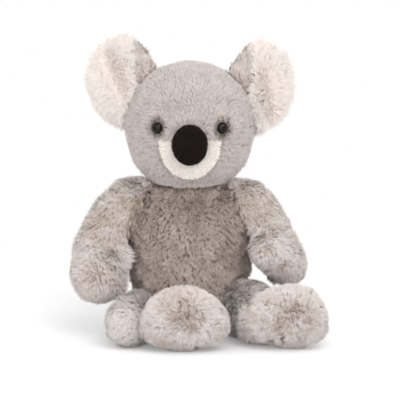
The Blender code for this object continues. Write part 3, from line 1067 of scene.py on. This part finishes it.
@dataclass
class Studio:
    """A white floor, soft light and the camera, with lengths in metres and powers in watts."""

    frame_width: float = 0.340
    lens: float = 250
    sensor: float = 36
    target: Vector = Vector((8.5 * MM, -20 * MM, 115.7 * MM))
    floor_size: float = 8.0
    # The floor keeps the shadow up to the first distance from the toy and is plain white from the second on
    shadow_ends: tuple[float, float] = (0.16, 0.42)
    floor_glow: float = 0.22
    lamp_size: float = 1.2
    key_at: Vector = Vector((0.48, -1.1, 1.3))
    key_power: float = 11.5
    fill_at: Vector = Vector((-0.4, -1.38, 0.4))
    fill_power: float = 6
    room_light: float = 0.92

    def build(self) -> None:
        """Set up the floor, the lights, the world and the camera."""
        self.floor()
        self.lamp("key", self.key_at, self.key_power)
        self.lamp("fill", self.fill_at, self.fill_power)
        self.world()
        self.camera()
        bpy.context.scene.view_settings.view_transform = "Standard"

    def floor(self) -> None:
        """Lay the floor: white paper that keeps the shadow near the toy and ends in plain white."""
        bpy.ops.object.select_all(action="DESELECT")
        bpy.ops.mesh.primitive_circle_add(vertices=96, radius=self.floor_size / 2, fill_type="NGON")
        item = bpy.context.active_object
        item.name = "studio_floor"
        material, tree = new_material("white paper sweep")
        place = add_node(tree, "TexCoord")
        far = add_node(tree, "VectorMath", {"operation": "LENGTH"}, _0=place.outputs["Object"])
        beyond = add_node(
            tree, "MapRange", {"interpolation_type": "SMOOTHSTEP"}, Value=far.outputs["Value"],
            From_Min=self.shadow_ends[0], From_Max=self.shadow_ends[1],
        )
        paper = add_node(tree, "BsdfDiffuse", Color=linear("#e4e4e4"))
        glow = add_node(tree, "Emission", Color=linear("#ffffff"), Strength=self.floor_glow)
        lifted = add_node(tree, "AddShader", _0=paper.outputs[0], _1=glow.outputs[0])
        white = add_node(tree, "Emission", Color=linear("#ffffff"), Strength=1.0)
        seen = add_node(
            tree, "MixShader", _0=beyond.outputs["Result"], _1=lifted.outputs[0], _2=white.outputs[0]
        )
        rays = add_node(tree, "LightPath")
        mixed = add_node(
            tree, "MixShader", _0=rays.outputs["Is Camera Ray"], _1=paper.outputs[0], _2=seen.outputs[0]
        )
        add_node(tree, "OutputMaterial", Surface=mixed.outputs[0])
        item.data.materials.append(material)

    def lamp(self, name: str, at: Vector, power: float) -> None:
        """Hang a square soft box that faces the toy.

        Args:
            name: the lamp's name.
            at: its place.
            power: its power.
        """
        light = bpy.data.lights.new(name, "AREA")
        light.shape, light.size, light.energy = "SQUARE", self.lamp_size, power
        item = linked(name, light)
        item.location = at
        item.rotation_euler = (at - self.target).to_track_quat("Z", "Y").to_euler()

    def world(self) -> None:
        """Light the room evenly, and show it white to the camera."""
        world = bpy.data.worlds.new("studio")
        bpy.context.scene.world = world
        world.use_nodes = True
        tree = world.node_tree
        tree.nodes.clear()
        rays = add_node(tree, "LightPath")
        soft = add_node(tree, "Background", Color=linear("#ffffff"), Strength=self.room_light)
        white = add_node(tree, "Background", Color=linear("#ffffff"), Strength=1.0)
        mixed = add_node(
            tree, "MixShader", _0=rays.outputs["Is Camera Ray"], _1=soft.outputs[0], _2=white.outputs[0]
        )
        add_node(tree, "OutputWorld", Surface=mixed.outputs[0])

    def camera(self) -> None:
        """Stand the camera in front, a little above the toy, with a long lens."""
        data = bpy.data.cameras.new("camera")
        data.lens, data.sensor_width = self.lens, self.sensor
        item = linked("camera", data)
        back = Vector((0, -math.cos(PICTURE_TILT), math.sin(PICTURE_TILT)))
        item.location = self.target + back * (self.frame_width * self.lens / self.sensor)
        item.rotation_euler = back.to_track_quat("Z", "Y").to_euler()
        bpy.context.scene.camera = item


@dataclass
class Koala:
    """The whole toy, piece by piece."""

    nose_hub: Vector = field(default_factory=lambda: sum(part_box("nose"), Vector()) / 2)

    def build(self) -> None:
        """Make every piece in order."""
        self.torso()
        self.head()
        self.arms()
        self.legs()
        self.ears()
        self.face()

    def torso(self) -> None:
        """The body, brushed down, with painted shade on the chest and in a crease at each arm, painted light on the
        belly, and a longer hem of pile over each thigh.
        """
        # Painted shade on the chest, in the shade of the head, and painted light on the belly
        chest, belly = front_of("torso", (5.4, 103), (0, 48))
        crowns = [painted_shading(chest, 22 * MM, 0.2), painted_shading(belly, 24 * MM, -0.12)]
        # Painted shade in the crease where each arm meets the body
        for crease in (((-38, 121), (-51, 80)), ((34, 116), (49, 78))):
            start, end = front_of("torso", *crease)
            crowns.append(painted_shading(start, 3.2 * MM, 0.6, to=end))
        # The two ends of each thigh's rim, and how much longer the pile is over it
        for *rim, longer in (((-50, 48), (-34, 42), 1.5), ((49, 54), (34, 47), 1.1)):
            start, end = front_of("torso", *rim)
            crowns.append(Crown(start, 6 * MM, to=end, way=DOWN, open=0, deep=-0.08, short=-longer))
        PlushPiece(
            "torso", TAUPE_PLUSH,
            Pile(
                length=5.0 * MM, root_lean=28, tip_lean=60, lock_radius=0.6 * MM, spacing=1.0 * MM, width=0.32 * MM,
                gather=0.6, wander=0.7, wander_size=5 * MM, curl=0.2,
            ),
            seed=11, crowns=crowns, partings=0.1, base_shade=0.59, shade_drift=0.14,
        ).build()

    def head(self) -> None:
        """The head, with its eyes and their washers, and a fringe over the muzzle's top edge."""
        eyes = [SafetyEye(side) for side in Side]
        washer_plastic = WasherPlastic().material()
        for eye in eyes:
            eye.build()
            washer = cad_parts[f"eye_washer_{eye.side.word}"]
            washer.data.materials.clear()
            washer.data.materials.append(washer_plastic)
        fringe = []
        for side in Side:
            outer, inner = front_of("head", (side.value * 27, 164), (side.value * 17, 164))
            way = Vector((0, -0.3, -1))
            fringe.append(Crown(outer, 4.5 * MM, to=inner, way=way, open=0.15, deep=0, short=-0.3))
        Head(
            "head", SHEARED_PLUSH,
            Pile(
                length=4.6 * MM, root_lean=40, tip_lean=76, lock_radius=0.7 * MM, spacing=1.3 * MM, width=0.40 * MM,
                wander=0.2, curl=0.08, hairs=6,
            ),
            seed=21, inset=2.3 * MM, partings=0.3, base_shade=0.71, shade_drift=0.06, crowns=fringe,
            eyes=tuple(eye.seat for eye in eyes), hub=self.nose_hub,
        ).build()

    def arms(self) -> None:
        """Both arms, with the swirls on their paws, the tufts at neck and paw, and painted shade and light on them.
        """
        # Each swirl and each tone by where it is, its reach in millimetres and, for a tone, its depth; the tones are
        # painted shade on the upper arms and painted light on the left paw
        swirls = {Side.RIGHT: ((-78, 47, 14), (-62, 66, 8)), Side.LEFT: ((66, 69, 10), (81, 55, 9))}
        tones = {Side.RIGHT: ((-70, 94, 24, 0.28),), Side.LEFT: ((61, 102, 20, 0.16), (76, 60, 20, -0.24))}
        shoulders = {Side.RIGHT: (-47, 110), Side.LEFT: (51, 104.5)}
        seams = {Side.RIGHT: ((-40, 117), (-53, 84)), Side.LEFT: ((38, 113), (51, 80))}
        for side in Side:
            name = f"arm_{side.word}"
            crowns = [
                Crown(front_of(name, (x, up))[0], reach * MM, turn=0.6, open=0.45, deep=0.22)
                for x, up, reach in swirls[side]
            ]
            shoulder, neck, start, end = front_of(name, shoulders[side], (side.value * 34, 124), *seams[side])
            # Painted shade on the inner shoulder, near the neck
            crowns.append(painted_shading(shoulder, 18 * MM, 0.2))
            crowns.append(Crown(neck, 9 * MM, way=Vector((-side.value, 0, 1)), open=0.2, deep=0.2, short=-0.2))
            # Painted shade along the crease at the arm's seam with the body
            crowns.append(painted_shading(start, 5 * MM, 0.3, to=end))
            # Painted shade on the upper arms and painted light on the left paw
            crowns += [painted_shading(front_of(name, (x, up))[0], reach * MM, deep) for x, up, reach, deep in tones[side]]
            bumps = ()
            if side is Side.RIGHT:
                # The tuft on the inside of this paw, and the pile that closes the gap below it
                tuft, below, end = front_of(name, (-55.5, 64), (-55, 54), (-57, 36))
                bumps = (Bump(tuft, (8 * MM, -3 * MM, 1 * MM), 8 * MM),)
                crowns.append(Crown(tuft, 9 * MM, way=Vector((1, -0.5, 0.15)), open=0.3, deep=-0.2, short=-0.3))
                way = Vector((1, 0, -0.3))
                crowns.append(Crown(below, 6 * MM, to=end, way=way, open=0.8, deep=0, short=-0.4))
            else:
                # The pile that hangs from this paw over the leg
                under, end = front_of(name, (60, 50), (72, 42))
                way = Vector((-0.5, -0.5, -1))
                crowns.append(Crown(under, 6 * MM, to=end, way=way, open=0.5, deep=-0.2, short=-0.3))
            PlushPiece(
                name, GREY_PLUSH, Pile(wander=0.35), seed=31 + side.value, crowns=crowns, bumps=bumps,
                sweep=(side.value * 0.5, 0.2, -1), base_shade=0.7, shade_drift=0.09,
            ).build()

    def legs(self) -> None:
        """Both legs and their feet, with the crown on each sole and painted light on each leg."""
        soles = {Side.RIGHT: (-1, 16.5), Side.LEFT: (87.5, 16)}
        # The fuller pile on top of each leg, beside its foot: where it is and how far the leg bulges there. Painted
        # light pales the pile there, where the paw, body and foot shade it
        thighs = {Side.RIGHT: (-43, 30, 0.5), Side.LEFT: (64, 41, 4)}
        for side in Side:
            leg, foot = f"leg_{side.word}", f"foot_{side.word}"
            *seen, thick = thighs[side]
            thigh = front_of(leg, seen)[0]
            # The legs' pale base shade and the thigh's negative depth are painted light, against the shade of the
            # arms, body and feet
            PlushPiece(
                leg, GREY_PLUSH, Pile(spacing=1.2 * MM, wander=0.25), seed=41 + side.value, inset=1.2 * MM,
                crowns=[Crown(thigh, 13 * MM, way=Vector((0, -0.3, 1)), open=0.6, deep=-0.3, short=-0.2)],
                bumps=(Bump(thigh, (0, -1 * MM, thick * MM), 12 * MM),), bare_under=0, seam_reach=3 * MM,
                sweep=(side.value * 0.8, -0.2, -0.6), partings=0, base_shade=0.86, shade_drift=0.07, painted_seam_shade=0.02,
                sewn_to=foot,
            ).build()
            sole = front_of(foot, soles[side])[0]
            PlushPiece(
                foot, GREY_PLUSH, Pile(wander=0.75, wander_size=9 * MM, spacing=1.15 * MM, width=0.4 * MM), leg,
                seed=51 + side.value, inset=3.2 * MM, lift=1.6 * MM,
                crowns=[Crown(sole, 17 * MM, turn=0, open=0.7, deep=0.22)], hub=sole, whorl=22 * MM, partings=0.03,
                base_shade=0.72, painted_seam_shade=0.06, sewn_to=leg,
            ).build()

    def ears(self) -> None:
        """Both ears: the grey backs with painted shade in a fold, and the long white linings with their hollows,
        deepened by painted shade.
        """
        # Where each ear back's fold lies, which painted shade darkens, and each lining's hollow
        folds = {Side.RIGHT: (-42, 206), Side.LEFT: (48, 200)}
        hollows = {Side.RIGHT: ((-72, 233), (-60, 203)), Side.LEFT: ((66, 214), (72, 186))}
        for side in Side:
            back, lining = f"ear_back_{side.word}", f"ear_lining_{side.word}"
            middle = sum(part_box(lining), Vector()) / 2
            Ear(
                back, GREY_PLUSH, Pile(length=5.4 * MM, spacing=1.3 * MM, wander=0.2), seed=61 + side.value,
                crowns=[painted_shading(front_of(back, folds[side])[0], 9 * MM, 0.3)], fill=0.3, middle=middle, size=0.93,
                hub=middle + Vector((-side.value * 30 * MM, 0, -25 * MM)), partings=0, base_shade=0.61,
                shade_drift=0.06, painted_seam_shade=0.05, sewn_to=lining,
            ).build()
            start, end = front_of(lining, *hollows[side])
            top = Vector((middle.x - side.value * 8 * MM, middle.y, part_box(lining)[1].z))
            Ear(
                lining, WHITE_PLUSH,
                Pile(
                    length=9 * MM, root_lean=30, tip_lean=72, lock_radius=1.3 * MM, spacing=1.15 * MM, width=0.4 * MM,
                    wander=0.35,
                ),
                seed=71 + side.value,
                crowns=[
                    # The hollow: the pile parts and is shorter over it, and painted shade deepens it
                    Crown(start, 10 * MM, to=end, open=0.1, deep=0.36, short=0.3),
                    Crown(top, 9 * MM, way=UP, open=0.6, deep=0, short=-0.3),
                ],
                fill=0.4, middle=middle, hub=(start + end) / 2, base_shade=0.9, shade_drift=0.05, painted_seam_shade=0.08,
                sewn_to=back,
            ).build()

    def face(self) -> None:
        """The muzzle, tufted along its top edge, and the nose."""
        low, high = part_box("muzzle")
        tufts = []
        for side in Side:
            outer, inner = (
                Vector(((low.x + high.x) / 2 + side.value * share * (high.x - low.x) / 2, low.y, high.z))
                for share in (0.95, 0.6)
            )
            tufts.append(Crown(outer, 3.5 * MM, to=inner, way=UP, open=0.1, deep=0, short=-0.5))
        Radial(
            "muzzle", CREAM_PLUSH,
            Pile(
                length=2.8 * MM, tip_lean=66, lock_radius=0.6 * MM, spacing=0.95 * MM, width=0.32 * MM, wander=0.2,
                wander_size=8 * MM, curl=0.1, hairs=6,
            ),
            seed=81, inset=0.8 * MM, fill=0.4, hub=self.nose_hub, crowns=tufts, creases=34,
        ).build()
        Radial(
            "nose", BLACK_VELOUR,
            Pile(
                length=1.6 * MM, root_lean=30, tip_lean=60, lock_radius=0.35 * MM, spacing=0.75 * MM, width=0.26 * MM,
                wander=0.3, wander_size=6 * MM, curl=0.1, hairs=4,
            ),
            seed=91, inset=0.9 * MM, fill=0.9, hub=self.nose_hub + Vector((0, 0, 4 * MM)), base_shade=0.5,
        ).build()


def main() -> None:
    """Build the toy and the studio."""
    logging.basicConfig(level=logging.INFO, format="%(message)s")
    Studio().build()
    Koala().build()


if __name__ == "__main__":
    main()
